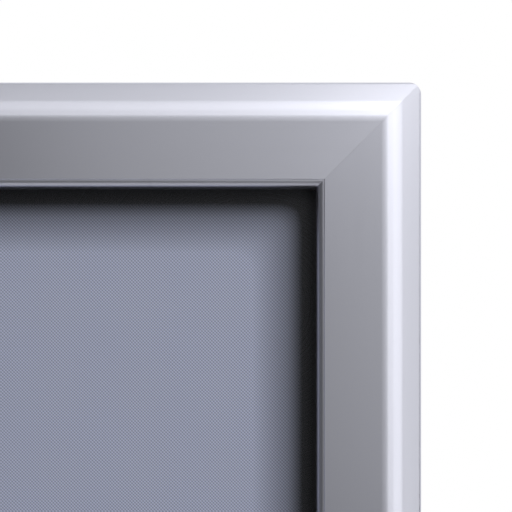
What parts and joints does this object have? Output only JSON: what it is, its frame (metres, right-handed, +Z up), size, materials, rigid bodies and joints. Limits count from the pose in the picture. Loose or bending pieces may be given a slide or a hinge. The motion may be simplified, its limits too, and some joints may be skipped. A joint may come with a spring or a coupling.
{
  "type": "sandwich board",
  "caption": "Folding double-sided pavement sign: two mitred aluminium snap frames on legs, joined by a top hinge and side stays.",
  "frame": {"origin": "on the floor, midway between the four feet", "axes": "+Z up, +X across the board to the right, the front poster faces -Y"},
  "size_m": [0.638, 0.483, 1.1005],
  "materials": {
    "satin_aluminium": "satin anodised, fine drawn grain",
    "base_extrusion": "satin anodised extrusion",
    "spring_steel": "blued spring steel",
    "zinc_plated_steel": "bright zinc plate",
    "rivet_aluminium": "plain",
    "grey_panel": "matt blue-grey coated sheet",
    "anti_glare_cover": "fine matt anti-glare film",
    "black_rubber": "matt moulded rubber",
    "black_plastic": "moulded, fine texture"
  },
  "bodies": {
    "front": {"front_top_base_rail": "base_extrusion", "front_bottom_base_rail": "base_extrusion", "front_left_base_rail": "base_extrusion", "front_right_base_rail": "base_extrusion", "front_leaf_springs": "spring_steel", "front_corner_keys": "zinc_plated_steel", "front_corner_screws": "zinc_plated_steel", "front_back_panel": "grey_panel", "front_cover_sheet": "anti_glare_cover", "front_left_leg": "base_extrusion", "front_right_leg": "base_extrusion", "front_left_foot": "black_rubber", "front_right_foot": "black_rubber", "front_leg_caps": "black_plastic", "front_frame_rivets": "rivet_aluminium", "front_left_hinge_plate": "zinc_plated_steel", "front_right_hinge_plate": "zinc_plated_steel", "front_hinge_rivets": "rivet_aluminium", "left_hinge_pin": "zinc_plated_steel", "right_hinge_pin": "zinc_plated_steel", "stay_pivot_rivets": "zinc_plated_steel"},
    "rear": {"rear_top_base_rail": "base_extrusion", "rear_bottom_base_rail": "base_extrusion", "rear_left_base_rail": "base_extrusion", "rear_right_base_rail": "base_extrusion", "rear_leaf_springs": "spring_steel", "rear_corner_keys": "zinc_plated_steel", "rear_corner_screws": "zinc_plated_steel", "rear_back_panel": "grey_panel", "rear_cover_sheet": "anti_glare_cover", "rear_left_leg": "base_extrusion", "rear_right_leg": "base_extrusion", "rear_left_foot": "black_rubber", "rear_right_foot": "black_rubber", "rear_leg_caps": "black_plastic", "rear_frame_rivets": "rivet_aluminium", "rear_left_hinge_plate": "zinc_plated_steel", "rear_right_hinge_plate": "zinc_plated_steel", "rear_hinge_rivets": "rivet_aluminium", "stay_slot_pins": "zinc_plated_steel"},
    "front_top_snap": {"front_top_snap_rail": "satin_aluminium"},
    "front_bottom_snap": {"front_bottom_snap_rail": "satin_aluminium"},
    "front_left_snap": {"front_left_snap_rail": "satin_aluminium"},
    "front_right_snap": {"front_right_snap_rail": "satin_aluminium"},
    "rear_top_snap": {"rear_top_snap_rail": "satin_aluminium"},
    "rear_bottom_snap": {"rear_bottom_snap_rail": "satin_aluminium"},
    "rear_left_snap": {"rear_left_snap_rail": "satin_aluminium"},
    "rear_right_snap": {"rear_right_snap_rail": "satin_aluminium"},
    "left_stay": {"left_stay": "zinc_plated_steel"},
    "right_stay": {"right_stay": "zinc_plated_steel"}
  },
  "joints": [
    {"name": "fold", "type": "hinge", "parent": "front", "child": "rear", "pos_m": [0, 0, 1.06608], "axis": [-1, 0, 0], "range_deg": [0, 24]},
    {"name": "front_top_snap_hinge", "type": "hinge", "parent": "front", "child": "front_top_snap", "pos_m": [0, -0.0127, 1.09577], "axis": [-1, 0, 0], "range_deg": [0, 90]},
    {"name": "front_bottom_snap_hinge", "type": "hinge", "parent": "front", "child": "front_bottom_snap", "pos_m": [0, -0.19521, 0.23715], "axis": [1, 0, 0], "range_deg": [0, 90]},
    {"name": "front_left_snap_hinge", "type": "hinge", "parent": "front", "child": "front_left_snap", "pos_m": [-0.3154, -0.10396, 0.66646], "axis": [0, -0.2079, -0.9781], "range_deg": [0, 90]},
    {"name": "front_right_snap_hinge", "type": "hinge", "parent": "front", "child": "front_right_snap", "pos_m": [0.3154, -0.10396, 0.66646], "axis": [0, 0.2079, 0.9781], "range_deg": [0, 90]},
    {"name": "rear_top_snap_hinge", "type": "hinge", "parent": "rear", "child": "rear_top_snap", "pos_m": [0, 0.0127, 1.09577], "axis": [1, 0, 0], "range_deg": [0, 90]},
    {"name": "rear_bottom_snap_hinge", "type": "hinge", "parent": "rear", "child": "rear_bottom_snap", "pos_m": [0, 0.19521, 0.23715], "axis": [-1, 0, 0], "range_deg": [0, 90]},
    {"name": "rear_left_snap_hinge", "type": "hinge", "parent": "rear", "child": "rear_left_snap", "pos_m": [-0.3154, 0.10396, 0.66646], "axis": [0, -0.2079, 0.9781], "range_deg": [0, 90]},
    {"name": "rear_right_snap_hinge", "type": "hinge", "parent": "rear", "child": "rear_right_snap", "pos_m": [0.3154, 0.10396, 0.66646], "axis": [0, 0.2079, -0.9781], "range_deg": [0, 90]},
    {"name": "left_stay_swing", "type": "hinge", "parent": "front", "child": "left_stay", "pos_m": [0, -0.04794, 0.8718], "axis": [-1, 0, 0], "range_deg": [0, 34.78]},
    {"name": "right_stay_swing", "type": "hinge", "parent": "front", "child": "right_stay", "pos_m": [0, -0.04794, 0.8718], "axis": [-1, 0, 0], "range_deg": [0, 34.78]}
  ],
  "couplings": [
    {"joint": "left_stay_swing", "follows": "fold", "ratio": 1.447},
    {"joint": "right_stay_swing", "follows": "fold", "ratio": 1.447}
  ]
}
